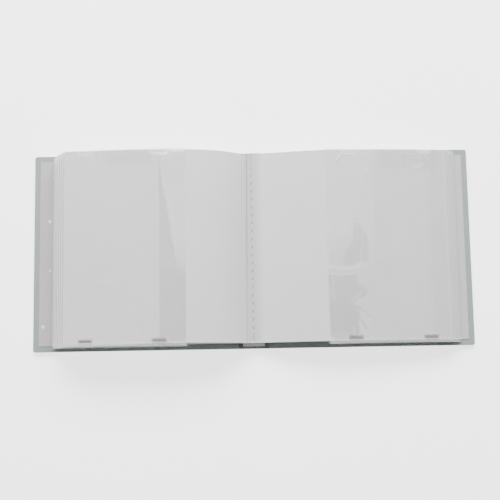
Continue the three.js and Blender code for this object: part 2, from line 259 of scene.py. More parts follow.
def fade(tree, value, start, end, low, high, interpolation_type="SMOOTHSTEP"):
    """Goes from low to high while a place goes from start to end, in millimetres."""
    return add_node(tree, "ShaderNodeMapRange", {
        "Value": value, "From Min": start * MM, "From Max": end * MM, "To Min": low, "To Max": high,
    }, interpolation_type=interpolation_type).outputs["Result"]


def line_mask(tree, value, centre, half_width):
    """1 on a soft line where a place is at centre, 0 away from it, in millimetres."""
    away = math_node(tree, "ABSOLUTE", math_node(tree, "SUBTRACT", value, centre * MM))
    return fade(tree, away, 0, half_width, 1.0, 0.0)


def surface(tree, shader, tone, height, depth):
    """The colour of a material, and its fine relief of that depth in metres."""
    tree.links.new(tone, shader.inputs["Base Color"])
    node = add_node(tree, "ShaderNodeBump", {"Height": height, "Distance": depth, "Strength": 1.0})
    tree.links.new(node.outputs["Normal"], shader.inputs["Normal"])


def make_cloth_material():
    """Pale sage book cloth: a fine plain weave under a matt coating."""
    material, tree, shader = new_material("book_cloth", (0.305, 0.368, 0.348), 0.6, Specular_IOR_Level=0.35)
    weave = math_node(tree, "MAXIMUM", *weave_of(tree, 560.0, 0.6))
    slub = noise_of(tree, (900, 120, 900), 4.0)
    mottle = noise_of(tree, 38, 4.0, 0.6)
    tone = ramp(tree, mottle, (0.3, (0.270, 0.331, 0.312)), (0.7, (0.310, 0.373, 0.354)))
    threads = ramp(tree, weave, (0.2, (0.215, 0.275, 0.257)), (0.9, (0.37, 0.44, 0.418)))
    tone = mix_colour(tree, 0.22, tone, threads)
    tone = mix_colour(tree, 0.12, tone, ramp(tree, slub, (0.35, 0.22), (0.7, 0.50)))
    tree.links.new(ramp(tree, mottle, (0.3, 0.56), (0.75, 0.68)), shader.inputs["Roughness"])
    surface(tree, shader, tone, math_node(tree, "ADD", weave, math_node(tree, "MULTIPLY", slub, 0.7)), 0.00006)
    return material


def make_board_material():
    """Greyboard: pressed pulp with darker flecks."""
    material, tree, shader = new_material("greyboard", (0.34, 0.31, 0.27), 0.95, Specular_IOR_Level=0.2)
    pulp = noise_of(tree, 420, 6.0, 0.65)
    layers = noise_of(tree, (60, 60, 2600))
    tone = ramp(tree, pulp, (0.32, (0.24, 0.22, 0.19)), (0.5, (0.35, 0.32, 0.28)), (0.72, (0.43, 0.40, 0.36)))
    tone = mix_colour(tree, 0.3, tone, ramp(tree, layers, (0.3, 0.2), (0.7, 0.42)))
    surface(tree, shader, tone, pulp, 0.00012)
    return material


def make_endpaper_material(name, painted_lightness):
    """Grey-rose endpaper printed with scattered small pale dots.

    Its tone is scaled by the second argument, to paint one paper lighter or darker as light falls on it.
    """
    material, tree, shader = new_material(name, (0.51, 0.48, 0.49), 0.72, Specular_IOR_Level=0.3)
    low, high = (tuple(painted_lightness * c for c in tone) for tone in ((0.490, 0.455, 0.467), (0.535, 0.503, 0.514)))
    fibre = noise_of(tree, (700, 260, 700), 4.0)
    cloud = noise_of(tree, 22)
    ground = ramp(tree, cloud, (0.3, low), (0.7, high))
    ground = mix_colour(tree, 0.1, ground, ramp(tree, fibre, (0.3, 0.42), (0.7, 0.68)))
    cells = add_node(tree, "ShaderNodeTexVoronoi", {
        "Vector": place(tree, (76, 76, 0.0)), "Scale": 1.0, "Randomness": 0.9,
    }, feature="F1").outputs["Distance"]
    dots = ramp(tree, cells, (0.12, 1.0), (0.17, 0.0))
    tone = mix_colour(tree, dots, ground, (0.86, 0.85, 0.85))
    surface(tree, shader, tone, fibre, 0.00003)
    return material


def make_card_material(name, scored, fore_edge_shade):
    """White card: faint fibres, a little uneven in tone, with painted shade in the fold and, as much as asked, toward
    the fore-edge, and a painted highlight along the tail edge.

    A scored leaf has two crease lines, with painted shade in them.
    """
    material, tree, shader = new_material(name, (0.78, 0.775, 0.775), 0.82, Specular_IOR_Level=0.3)
    fibre = noise_of(tree, (1500, 420, 1500), 5.0, 0.6, attribute="sheet_place")
    cloud = noise_of(tree, 18, attribute="sheet_place")
    tone = ramp(tree, cloud, (0.3, (0.776, 0.748, 0.760)), (0.7, (0.804, 0.777, 0.789)))
    tone = mix_colour(tree, 0.08, tone, ramp(tree, fibre, (0.3, 0.6), (0.7, 0.9)))
    spot = add_node(tree, "ShaderNodeAttribute", attribute_name="sheet_place").outputs["Vector"]
    parts = add_node(tree, "ShaderNodeSeparateXYZ", {"Vector": spot}).outputs
    # Painted shade in the fold, fading out along the leaf.
    in_fold = fade(tree, parts["X"], *FOLD_SHADE, 0.85, 0.0)
    tone = mix_colour(tree, in_fold, tone, CARD_SHADE_GREY)
    # Painted shade toward the fore-edge, as strong as the material asks for.
    fore_edge_shading = fade(tree, parts["X"], *FORE_EDGE_SHADE_SPAN, 0.0, fore_edge_shade)
    tone = mix_colour(tree, fore_edge_shading, tone, CARD_SHADE_GREY)
    # A painted highlight along the tail edge.
    tail_highlight = math_node(tree, "MULTIPLY", line_mask(tree, parts["Y"], LEAF_LOW, TAIL_HIGHLIGHT_WIDTH), 0.6)
    tone = mix_colour(tree, tail_highlight, tone, (0.90, 0.885, 0.89))
    if scored:
        wander = math_node(tree, "MULTIPLY", math_node(tree, "SUBTRACT", cloud, 0.5), 0.0005)
        slanted = math_node(tree, "MULTIPLY", parts["Y"], CREASE_SLANT)
        travelled = math_node(tree, "ADD", math_node(tree, "ADD", parts["X"], slanted), wander)
        # Painted shade in the two crease lines, clearer toward the head.
        clear = fade(tree, parts["Y"], *CREASE_FADE, 0.5, 1.0, "LINEAR")
        for centre, _, strength in CREASES:
            line = line_mask(tree, travelled, centre, CREASE_WIDTH)
            shown = math_node(tree, "MULTIPLY", math_node(tree, "MULTIPLY", line, strength), clear)
            tone = mix_colour(tree, shown, tone, CREASE_SHADE_GREY)
    tree.links.new(ramp(tree, fibre, (0.3, 0.74), (0.7, 0.88)), shader.inputs["Roughness"])
    surface(tree, shader, tone, fibre, 0.00003)
    return material


def make_film_material():
    """Clear pocket film with soft gloss, clouded and painted lighter or darker by the film_haze_and_painted_light of
    each place: 0 painted dark as shade, 0.5 plain, 1 painted bright as a highlight.
    """
    material, tree, shader = new_material("pocket_film", (0.80, 0.79, 0.80), 0.22, Specular_IOR_Level=0.5)
    haze_and_painted_light = add_node(tree, "ShaderNodeAttribute", attribute_name="film_haze_and_painted_light").outputs["Fac"]
    cloud = noise_of(tree, 26, 4.0, attribute="sheet_place")
    streak = noise_of(tree, (40, 70, 40), attribute="sheet_place")
    clouding = math_node(tree, "MULTIPLY", math_node(tree, "SUBTRACT", cloud, 0.5), 0.16)
    uneven = math_node(tree, "ADD", haze_and_painted_light, clouding)
    # Low values paint the film dark as shade and high values paint it bright as a highlight; both also cloud it.
    tone = ramp(tree, uneven, (0.0, (0.60, 0.585, 0.595)), (0.5, (0.93, 0.91, 0.92)), (1.0, (1.0, 0.985, 0.99)))
    tree.links.new(ramp(tree, uneven, (0.0, 0.40), (0.5, 0.22), (1.0, 0.40)), shader.inputs["Alpha"])
    tree.links.new(ramp(tree, streak, (0.3, 0.16), (0.7, 0.30)), shader.inputs["Roughness"])
    surface(tree, shader, tone, cloud, 0.0002)
    return material


def make_weld_material():
    """Two films pressed together inside a notch: a grey ribbed band, painted dark as the shadow in the notch, and
    painted as light as the page by the notch's mouth, on its rims and at the head, where light falls in.
    """
    material, tree, shader = new_material("weld_with_painted_shade", (0.42, 0.39, 0.40), 0.45)
    grain = noise_of(tree, 2200)
    # The band is painted dark as the shadow in the notch.
    band = ramp(tree, grain, (0.3, (0.20, 0.18, 0.188)), (0.7, (0.28, 0.26, 0.268)))
    # Painted light, where light falls into the notch.
    light = add_node(tree, "ShaderNodeAttribute", attribute_name="weld_painted_light").outputs["Fac"]
    tone = mix_colour(tree, light, band, (0.79, 0.78, 0.785))
    surface(tree, shader, tone, grain, 0.00006)
    return material


def make_liner_material():
    """Open-weave lining cloth of the back, stiff with glue."""
    material, tree, shader = new_material("back_lining", (0.66, 0.65, 0.65), 0.9, Specular_IOR_Level=0.2)
    weave = math_node(tree, "MULTIPLY", *weave_of(tree, 330.0, 1.0))
    tone = ramp(tree, weave, (0.1, (0.74, 0.73, 0.73)), (0.7, (0.93, 0.92, 0.92)))
    surface(tree, shader, tone, weave, 0.00015)
    return material


def make_thread_material():
    """Waxed white sewing thread, two strands twisted, painted mid grey as painted shade of the stitches in the fold.
    """
    material, tree, shader = new_material("sewing_thread", (0.55, 0.54, 0.55), 0.7, Specular_IOR_Level=0.35)
    twist = add_node(tree, "ShaderNodeTexWave", {"Vector": place(tree, 1.0), "Scale": 520.0, "Distortion": 1.5},
                     bands_direction="DIAGONAL").outputs["Fac"]
    tone = ramp(tree, twist, (0.2, (0.58, 0.565, 0.58)), (0.8, (0.72, 0.705, 0.72)))
    surface(tree, shader, tone, twist, 0.00008)
    return material


def make_floor_material():
    """Plain pale studio floor, with a glow of its own that evens out the shade on it."""
    material, tree, shader = new_material("floor", (0.93, 0.93, 0.93), 0.9)
    shader.inputs["Emission Color"].default_value = (1, 1, 1, 1)
    shader.inputs["Emission Strength"].default_value = FLOOR_GLOW
    tone = noise_of(tree, 5, 2.0)
    tree.links.new(ramp(tree, tone, (0.3, 0.92), (0.7, 0.94)), shader.inputs["Base Color"])
    return material


MATERIALS = {
    "cloth": make_cloth_material(),
    "board": make_board_material(),
    # One endpaper in two copies: the left painted darker, as painted shade, and the right painted lighter, as painted
    # light.
    "endpaper_left": make_endpaper_material("endpaper_left", 0.95),
    "endpaper_right": make_endpaper_material("endpaper_right", 1.08),
    # The right card is painted with shade toward its fore-edge; the left card is not.
    "leaf_left": make_card_material("page_card_scored", scored=True, fore_edge_shade=0.0),
    "leaf_right": make_card_material("page_card", scored=False, fore_edge_shade=0.42),
    "film": make_film_material(),
    "weld": make_weld_material(),
    "liner": make_liner_material(),
    "thread": make_thread_material(),
}


# Meshes


def make_object(name, vertices, faces, material, places=None):
    """A piece from vertices in metres, with the place of each vertex on its flat sheet."""
    mesh = bpy.data.meshes.new(name)
    mesh.from_pydata([tuple(v) for v in vertices], [], faces)
    mesh.validate()
    if places is not None:
        attribute = mesh.attributes.new("sheet_place", "FLOAT_VECTOR", "POINT")
        attribute.data.foreach_set("vector", np.array(places, np.float32).ravel())
    work = bmesh.new()
    work.from_mesh(mesh)
    bmesh.ops.recalc_face_normals(work, faces=work.faces)
    work.to_mesh(mesh)
    work.free()
    mesh.polygons.foreach_set("use_smooth", [True] * len(mesh.polygons))
    piece = bpy.data.objects.new(name, mesh)
    bpy.context.scene.collection.objects.link(piece)
    piece.data.materials.append(MATERIALS[material])
    return piece


def give_values(piece, name, values):
    """A value for each vertex, which the material reads."""
    attribute = piece.data.attributes.new(name, "FLOAT", "POINT")
    attribute.data.foreach_set("value", values.astype(np.float32))


def sharpen(piece, degrees=40):
    """Keeps the cut edges of a sheet crisp while its faces stay smooth."""
    work = bmesh.new()
    work.from_mesh(piece.data)
    for edge in work.edges:
        edge.smooth = not (len(edge.link_faces) == 2 and edge.calc_face_angle(0) > math.radians(degrees))
    work.to_mesh(piece.data)
    work.free()
    return piece


def closed_sheet(top, bottom, keeps=None):
    """Vertices and faces of a thin closed body from two grids of points, one above the other.

    keeps(row, column) says which cells of the grid stay, so that the sheet can have notches.
    """
    rows, columns = len(top), len(top[0])
    vertices = [p for row in top for p in row] + [p for row in bottom for p in row]
    under = rows * columns
    kept = {(r, c) for r in range(rows - 1) for c in range(columns - 1) if keeps is None or keeps(r, c)}
    faces = []
    for row, column in sorted(kept):
        a = row * columns + column
        b, c, d = a + 1, a + columns + 1, a + columns
        faces.append((a, b, c, d))
        faces.append((under + a, under + d, under + c, under + b))
        sides = (((row - 1, column), a, b), ((row, column + 1), b, c),
                 ((row + 1, column), c, d), ((row, column - 1), d, a))
        for neighbour, first, second in sides:
            if neighbour not in kept:
                faces.append((first, under + first, under + second, second))
    return vertices, faces


def tube_faces(first, rows, count):
    """Faces of a closed body from rows of count points around it, numbered from first."""
    faces = []
    for row in range(rows):
        for index in range(count):
            a, b = (first + row * count + i % count for i in (index, index + 1))
            faces.append((a, b, b + count, a + count))
    last = first + rows * count
    return faces + [tuple(range(first, first + count)), tuple(range(last + count - 1, last - 1, -1))]


def drawn_sheet(columns, rows, spot):
    """A closed sheet from spot(along, up): x, y, underside and top in millimetres, for shares from 0 to 1."""
    grid = [[spot(column / columns, row / rows) for column in range(columns + 1)] for row in range(rows + 1)]
    top = [[Vector((x, y, high)) * MM for x, y, _, high in row] for row in grid]
    bottom = [[Vector((x, y, low)) * MM for x, y, low, _ in row] for row in grid]
    return closed_sheet(top, bottom)


# Leaves


def bezier(points, share):
    rest = 1 - share
    weights = (rest ** 3, 3 * rest * rest * share, 3 * rest * share * share, share ** 3)
    return Vector([sum(w * p[axis] for w, p in zip(weights, points)) for axis in (0, 1)])


# The two top leaves are one folded sheet, so they dip to meet each other in the fold: distances from its middle,
# and drops.
FOLD_DIP = ((-0.02, -0.9), (0.12, -0.62), (0.32, -0.36), (0.68, -0.13))


def lay_leaf(side, index):
    """The middle line of one leaf, from its root in the glued back to its fore-edge, in millimetres."""
    share = index / (LEAVES_PER_SIDE - 1)

    def between(low, high):
        return (low[0] + share * (high[0] - low[0]), low[1] + share * (high[1] - low[1]))

    knee = side["pocket"] - FLEX_MARGIN
    root_low = (SPINE_HALF - GLUE_DEPTH, LOWEST_LEAF)
    root_high = (FOLD_HALF_GAP + GLUE_DEPTH, FOLD_HEIGHT)
    third = (knee - root_low[0]) / 3
    knee_height = LOWEST_LEAF + share * (side["knee_height"] - LOWEST_LEAF)
    curve = [
        between(root_low, root_high),
        between((root_low[0] + third, LOWEST_LEAF), (root_high[0] + side["fold_run"], FOLD_HEIGHT)),
        between((knee - third, LOWEST_LEAF), (knee - side["knee_run"], side["knee_height"] - side["knee_rise"])),
        (knee, knee_height),
    ]
    is_top = index == LEAVES_PER_SIDE - 1
    shares = {step / MARGIN_STEPS for step in range(MARGIN_STEPS + 1)}
    if is_top:
        shares |= {CREASED_SHARE * step / CREASED_STEPS for step in range(CREASED_STEPS)}
    line = [bezier(curve, share_along) for share_along in sorted(shares)]
    length = sum((b - a).length for a, b in zip(line, line[1:]))
    fore_height = LOWEST_LEAF + share * (side["fore_height"] - LOWEST_LEAF)
    reach = math.sqrt((side["length"] - length) ** 2 - (fore_height - knee_height) ** 2)
    leaf = dict(share=share, knee=knee, knee_height=knee_height, fore_height=fore_height, reach=reach,
                fore=knee + reach, bulge=share * side["bulge"], is_top=is_top)
    leaf["notches"] = (side["pocket"] + NOTCH_FROM_INNER, leaf["fore"] - NOTCH_FROM_OUTER)
    leaf["film_edge"] = leaf["fore"] - POCKET_EDGE_INSET
    leaf["root"] = line[0]
    if is_top:
        line = [Vector((x, FOLD_HEIGHT + drop)) for x, drop in FOLD_DIP] + line
    leaf["line"] = line
    return leaf


def closing_line(name, index, leaf):
    """How the inner strip of a leaf straightens as the album closes, seen from the leaf.

    The first value is the direction in which the strip flattens, onto the line from its knee to its root. The second
    is how much longer than at rest it has to be, inside the glued back, to reach its root at every opening, as far as
    it then stays above the lining in the closed album.
    """
    hinge = next(j for j in frame["joints"] if j["name"] == f"leaf_{name}_{index + 1}_hinge")
    pole = Vector((abs(hinge["pos_m"][0]), hinge["pos_m"][2])) / MM
    turn = math.radians(max(hinge["range_deg"]))
    knee, away = Vector((leaf["knee"], leaf["knee_height"])), leaf["root"] - pole

    def root_seen(share):
        c, s = math.cos(share * turn), math.sin(share * turn)
        return pole + Vector((away.x * c + away.y * s, away.y * c - away.x * s))

    along = (root_seen(1) - knee).normalized()
    across = Vector((along.y, -along.x))
    short = 0.0
    for step in range(CLOSING_STEPS + 1):
        share = step / CLOSING_STEPS
        flattened = leaf["root"] - across * ((leaf["root"] - knee).dot(across) * share * (1 - STRIP_KEPT))
        short = max(short, (root_seen(share) - flattened).dot(along))

    def closed_height(length):
        tip = hidden_root(leaf, length)[0]
        tip = tip - across * ((tip - knee).dot(across) * (1 - STRIP_KEPT)) - pole
        return pole.y + tip.x * math.sin(turn) + tip.y * math.cos(turn)

    length = short + STRIP_SPARE
    while length > STRIP_LEAST and closed_height(length) < BACK_BOTTOM + STRIP_CLEAR:
        length -= STRIP_CUT
    return across, length


def hidden_root(leaf, length):
    """The part of a strip inside the glued back: points that stay under the slope of the roots on both sides."""
    start = leaf["line"][0]
    points = []
    for step in range(ROOT_STEPS):
        x = start.x - length * (1 - step / ROOT_STEPS)
        slope = (SPINE_HALF - abs(x)) / (SPINE_HALF - FOLD_HALF_GAP)
        top = LOWEST_LEAF + slope * (FOLD_HEIGHT - LOWEST_LEAF) - ROOT_DEPTH
        points.append(Vector((x, max(min(top, start.y - ROOT_DROP), BACK_BOTTOM + CARD))))
    return points


def leaf_height(leaf, distance):
    along = (distance - leaf["knee"]) / leaf["reach"]
    straight = leaf["knee_height"] + along * (leaf["fore_height"] - leaf["knee_height"])
    return straight + leaf["bulge"] * 4 * along * (1 - along)


def sheet_wave(side, leaf, distance, y):
    """How far a puffed sheet swings from a straight one, in millimetres."""
    calmed = 0.85 * smooth(leaf["fore"] - 50, leaf["fore"] - 8, distance)
    outward = smooth(leaf["knee"] * 0.4, 110, distance) * (1 - calmed)
    return leaf["share"] * outward * 0.5 * wave(distance, y, side["seed"])


def crease_dent(side, leaf, travelled, y):
    """How deep the crease lines of the top left leaf press it in, in millimetres."""
    if side["sign"] > 0 or not leaf["is_top"]:
        return 0.0
    return sum(depth * bump(centre, CREASE_WIDTH, travelled + CREASE_SLANT * y) for centre, depth, _ in CREASES)


def notch_distances(leaf):
    """Where the grid of a leaf needs lines for the sides and rounded corners of its notches."""
    half = NOTCH_LENGTH / 2
    for centre in leaf["notches"]:
        for offset in (-half, NOTCH_RADIUS - half, 0, half - NOTCH_RADIUS, half):
            yield centre + offset


def in_notch(leaf, distance, y):
    in_length = any(abs(distance - centre) < NOTCH_LENGTH / 2 for centre in leaf["notches"])
    return in_length and min(abs(y - LEAF_LOW), abs(y - LEAF_HIGH)) < NOTCH_DEPTH


def rounded_corner(leaf, distance, y):
    """Moves the corner of a notch onto its rounding, and leaves every other place as it is."""
    for centre in leaf["notches"]:
        for end, inward in ((LEAF_LOW, 1), (LEAF_HIGH, -1)):
            across = distance - centre
            if abs(abs(across) - NOTCH_LENGTH / 2) < 1e-6 and abs(y - end - inward * NOTCH_DEPTH) < 1e-6:
                shift = NOTCH_RADIUS * (1 - math.sqrt(0.5))
                return distance - math.copysign(shift, across), y - inward * shift
    return distance, y


def make_leaf(name, side, index, leaf):
    """One leaf as a continuous sheet, in two pieces that meet at its knee: the inner strip and the page."""
    chance = random.Random(100 + index + (50 if side["sign"] > 0 else 0))
    shift = chance.uniform(-0.2, 0.2)
    flattens, spare = closing_line(name, index, leaf)
    roots = hidden_root(leaf, spare)
    outer = {leaf["knee"] + step / OUTER_STEPS * leaf["reach"] for step in range(1, OUTER_STEPS + 1)}
    distances = sorted(outer | set(notch_distances(leaf)))
    line = roots + leaf["line"] + [Vector((distance, leaf_height(leaf, distance))) for distance in distances]
    knee_column = len(roots) + len(leaf["line"]) - 1
    rows = {LEAF_LOW + LEAF_HEIGHT * step / SHEET_ROWS for step in range(SHEET_ROWS + 1)}
    for depth in (NOTCH_DEPTH - NOTCH_RADIUS, NOTCH_DEPTH):
        rows |= {LEAF_LOW + depth, LEAF_HIGH - depth}
    rows = sorted(rows)
    travelled = [0.0]
    for a, b in zip(line, line[1:]):
        travelled.append(travelled[-1] + (b - a).length)
    travelled = [way - travelled[len(roots)] for way in travelled]
    top, bottom, places = [], [], []
    for y in rows:
        upper, lower, row_places = [], [], []
        for step, point in enumerate(line):
            before, after = line[max(step - 1, 0)], line[min(step + 1, len(line) - 1)]
            along = (after - before).normalized()
            across = Vector((-along.y, along.x)) * (CARD / 2)
            lift = sheet_wave(side, leaf, point.x, y) - crease_dent(side, leaf, travelled[step], y)
            distance, up = rounded_corner(leaf, point.x, y)
            for sheet, way in ((upper, 1), (lower, -1)):
                x = distance + way * across.x
                sheet.append(Vector((side["sign"] * x, up + shift, point.y + way * across.y + lift)) * MM)
            row_places.append((travelled[step] * MM, y * MM, index * PATTERN_STEP))
        top.append(upper)
        bottom.append(lower)
        places.append(row_places)

    def make_part(part, first, last):
        def keeps(row, column):
            middle = (line[first + column].x + line[first + column + 1].x) / 2
            return not in_notch(leaf, middle, (rows[row] + rows[row + 1]) / 2)

        spots = [spot for row in places for spot in row[first:last]]
        vertices, faces = closed_sheet([row[first:last] for row in top], [row[first:last] for row in bottom], keeps)
        piece = make_object(f"{part}_{name}_{index + 1}", vertices, faces, f"leaf_{name}", spots + spots)
        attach(sharpen(piece), f"leaf_{name}_{index + 1}")
        return piece

    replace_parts(make_part("page", knee_column, len(line)), f"leaf_{name}_{index + 1}")
    strip = make_part("strip", 0, knee_column + 1)
    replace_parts(strip, f"bound_margins_{name}")
    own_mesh(strip)


# The glued back: how finely its slope and length are drawn, how far the glue sags between two leaves, how far it
# stays inside their ends, and how far short of the fold its slope ends and its inner face below that. The pattern
# of its card is taken BACK_PATTERN metres further out, past the painted shade of the fold.
BACK_STEPS = 28
BACK_ROWS = 24
BACK_SAG = 0.15
BACK_INSET = 0.3
BACK_TOP_INSET = 0.9
BACK_INNER_DROP = 1.2
BACK_PATTERN = 0.03


def make_glued_back(name, side):
    """The wedge of glued margins below the pages of one side."""
    fold_top = FOLD_HEIGHT - CARD / 2
    outline = [(FOLD_HALF_GAP, BACK_BOTTOM), (SPINE_HALF, BACK_BOTTOM), (SPINE_HALF, LOWEST_LEAF + CARD / 2)]
    for step in range(1, BACK_STEPS + 1):
        share = step / BACK_STEPS
        sag = -BACK_SAG * math.sin(math.pi * share * (LEAVES_PER_SIDE - 1)) ** 2
        outline.append((SPINE_HALF + share * (FOLD_HALF_GAP + BACK_TOP_INSET - SPINE_HALF),
                        LOWEST_LEAF + CARD / 2 + share * (fold_top - LOWEST_LEAF - CARD / 2) + sag))
    outline.append((FOLD_HALF_GAP, fold_top - BACK_INNER_DROP))
    vertices, places = [], []
    for row in range(BACK_ROWS + 1):
        y = LEAF_LOW + BACK_INSET + (LEAF_HEIGHT - 2 * BACK_INSET) * row / BACK_ROWS
        for x, z in outline:
            vertices.append(Vector((side["sign"] * x, y, z)) * MM)
            places.append((x * MM + BACK_PATTERN, y * MM, z * MM))
    faces = tube_faces(0, BACK_ROWS, len(outline))
    back = make_object(f"glued_back_{name}", vertices, faces, f"leaf_{name}", places)
    sharpen(back, 50)
    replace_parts(back, f"bound_margins_{name}")
    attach(back, "spine")


# Film pockets

# What shows on the two open films. A stroke is a ridge or a groove: its points, as distance from the inner edge
# and place up the page, its half width, its rise and its haze, a painted highlight where positive and painted shade
# where negative. Lengths are in millimetres.
LEFT_STROKES = (
    (((20.5, 81), (19.4, 77), (17, 72)), 1.7, 0.5, 0.26),
    (((18.2, 80), (15.6, 73)), 1.1, -0.1, -0.16),
    (((17, 81.6), (30, 80.6)), 1.5, 0.3, 0.28),
    (((84.5, 81), (82.6, 79), (84.5, 75)), 1.1, 0.25, 0.2),
    (((80.2, 80), (79.6, 75)), 1.0, 0.2, 0.14),
    (((74.8, 80.5), (74.4, 74)), 1.2, -0.1, -0.14),
    (((87.5, 78.5), (88.5, 73.5)), 1.0, -0.1, -0.12),
)
RIGHT_STROKES = (
    (((-1, -19.8), (9.5, -20.8), (18, -21.6), (24, -19.8), (28.5, -16.6)), 3.4, 0.25, 0.36),
    (((26.5, -22.6), (32.5, -17)), 1.8, 0.3, 0.14),
    (((29.2, 7), (28.6, -14)), 1.5, 0.2, 0.14),
    (((36.6, 4), (37.2, -6), (36.8, -15.5)), 1.8, 0.4, 0.18),
    (((26.8, -42.8), (22, -46.5), (18.8, -49.6)), 1.6, 0.4, 0.26),
    (((22.8, -55.6), (28, -59), (32.8, -64.6)), 1.6, 0.3, 0.24),
    (((24.2, -52.8), (30, -57.6), (33.8, -61.6)), 1.1, -0.1, -0.26),
    (((28.4, -62.7), (33.3, -69.6)), 1.3, 0.2, 0.12),
    (((25.8, -63.6), (31.3, -72.4)), 1.1, -0.1, -0.26),
    (((24.6, -66.5), (28.2, -75)), 1.4, 0.35, 0.2),
    (((20.4, -70), (20, -78.6)), 1.5, 0.3, 0.16),
    (((3.7, -31), (3.3, -47)), 1.6, 0.2, 0.12),
    (((0.9, -25), (1.1, -38)), 1.1, -0.1, -0.16),
    (((1.4, -50), (1.2, -58)), 1.1, -0.1, -0.14),
    (((15.8, 81), (12, 77), (9.4, 73)), 1.8, 0.4, 0.2),
    (((17, 80.7), (29, 80.5)), 0.9, -0.1, -0.2),
    (((17, 78.9), (29, 78.8)), 0.9, 0.2, 0.18),
    (((17.4, 77.2), (28, 77.3)), 0.8, -0.1, -0.12),
    (((17.6, 75.7), (26, 75.9)), 0.9, 0.15, 0.12),
    (((36.6, 65.4), (35, 60.6)), 1.4, 0.3, 0.18),
    (((39.2, 63.6), (38.2, 60)), 1.3, -0.1, -0.12),
    (((75.4, 79.4), (83.5, 79.2)), 0.9, 0.2, 0.16),
    (((75.4, 77.6), (83.5, 77.6)), 0.8, -0.1, -0.16),
    (((75.6, 75.8), (83.2, 75.9)), 0.9, 0.2, 0.14),
    (((76, 74), (82.6, 74.1)), 0.8, -0.1, -0.12),
    (((76.6, 69.2), (80.4, 67.4), (84.4, 70.4)), 1.7, 0.3, 0.24),
    (((86, 79.6), (90.4, 76), (91.6, 69), (88.6, 62)), 1.5, 0.2, 0.1),
    (((70, 79), (66.5, 76), (68, 71.5)), 1.4, 0.15, -0.1),
)
SLANTED_FOLD = ((21.5, 84), (20.4, 72), (18.6, 52), (15, 36), (11.4, 10), (8, -8), (6.8, -16))
UPRIGHT_FOLD = 23.4
# Outlines of two areas of the right film that are painted darker.
DARKER_PATCH = ((25.2, 21.6), (28.5, 18.8), (32.6, 11.9), (34.3, 5), (34.6, -13.6), (30, -15.6), (26.7, -14.6),
              (23.2, -16.6), (18, -18.4), (12.6, -18.2), (13.8, -10.4), (16, -1.8), (20.2, 5), (21.4, 12), (20, 18.8))
DARKER_BLOCK = ((-4, -24), (6, -24.9), (19.5, -25.4), (24, -24), (23.7, -29.3), (27.8, -33.5), (32.3, -37),
              (32, -43.6), (26.6, -43), (19.6, -49), (24.6, -51.6), (26, -57.6), (23.7, -64.4), (25.6, -72.2),
              (22, -80), (-4, -80))
CORNER_CUTS = 2


def rounded_path(points, closed=False):
    """Cuts the corners of a line of points, so that it bends softly."""
    points = [np.array(point, float) for point in points]
    for _ in range(CORNER_CUTS):
        pairs = list(zip(points, points[1:] + points[:1] if closed else points[1:]))
        cut = [share * a + (1 - share) * b for a, b in pairs for share in (0.75, 0.25)]
        points = cut if closed else [points[0]] + cut + [points[-1]]
    return points + points[:1] if closed else points


def path_distance(path, across, y):
    """The distance of each place from a line of points."""
    nearest = np.full(across.shape, 1e9)
    for (ax, ay), (bx, by) in zip(path, path[1:]):
        dx, dy = bx - ax, by - ay
        share = np.clip(((across - ax) * dx + (y - ay) * dy) / (dx * dx + dy * dy), 0, 1)
        nearest = np.minimum(nearest, np.hypot(across - ax - share * dx, y - ay - share * dy))
    return nearest


def soft_area(points, across, y, border):
    """1 inside an outline and 0 outside it, with a soft border of that half width."""
    path = rounded_path(points, closed=True)
    is_inside = np.zeros(across.shape, bool)
    for (ax, ay), (bx, by) in zip(path, path[1:]):
        if ay != by:
            is_inside ^= ((ay > y) != (by > y)) & (across < ax + (y - ay) * (bx - ax) / (by - ay))
    return smooth(-border, border, path_distance(path, across, y) * np.where(is_inside, 1, -1))


def draw_strokes(strokes, across, y):
    """The rise, and the clouding with painted highlights and painted shade, that the strokes add at each place."""
    rise, haze_and_painted_light = np.zeros(across.shape), np.zeros(across.shape)
    for points, width, height, tone in strokes:
        ridge = bump(0, width, path_distance(rounded_path(points), across, y))
        rise += height * ridge
        haze_and_painted_light += tone * ridge
    return rise, haze_and_painted_light


def welded(leaf, distance, y):
    """1 where the film is welded down, 0 away from it."""
    at_ends = np.maximum(bump(LEAF_LOW - 1, 3.5, y), bump(LEAF_HIGH + 1, 3.5, y))
    grip = np.maximum(bump(leaf["film_edge"], 4, distance), 0.8 * at_ends)
    for centre in leaf["notches"]:
        for end in (LEAF_LOW, LEAF_HIGH):
            beside = np.maximum(np.abs(distance - centre) - NOTCH_LENGTH / 2 + 1, 0)
            grip = np.maximum(grip, bump(0, 1, np.hypot(beside / 5, (y - end) / 6)))
    return grip


def notch_sink(leaf, distance, y):
    """How far the film sinks into the notches, where it meets the film of the other face."""
    sink = 0.0
    for centre in leaf["notches"]:
        for end in (LEAF_LOW, LEAF_HIGH):
            along = 1 - smooth(NOTCH_LENGTH / 2 - 1.4, NOTCH_LENGTH / 2 - 0.3, np.abs(distance - centre))
            sink = np.maximum(sink, along * (1 - smooth(NOTCH_DEPTH - 1.2, NOTCH_DEPTH - 0.2, np.abs(y - end))))
    return sink


def notch_rim_highlights(leaf, distance, y):
    """1 on the painted highlights at both ends of each notch at the tail."""
    rims = 0.0
    for centre in leaf["notches"]:
        beside = bump(NOTCH_LENGTH / 2 + 0.6, 1.3, np.abs(distance - centre))
        rims = np.maximum(rims, beside * bump(LEAF_LOW + NOTCH_DEPTH / 2, NOTCH_DEPTH, y))
    return rims


def tugs(leaf, distance, y):
    """Fine wrinkles that run out from each weld."""
    total = 0.0
    for centre in leaf["notches"]:
        for end in (LEAF_LOW, LEAF_HIGH):
            across, up = distance - centre, np.abs(y - end)
            fan_angle = np.arctan2(across, up + 4)
            near = bump(0, 22, np.hypot(across, up)) * smooth(1.5, 6, up)
            total = total + 0.12 * near * np.sin(fan_angle * 13 + centre) * (0.6 + 0.4 * np.sin(fan_angle * 29 + end))
    return total
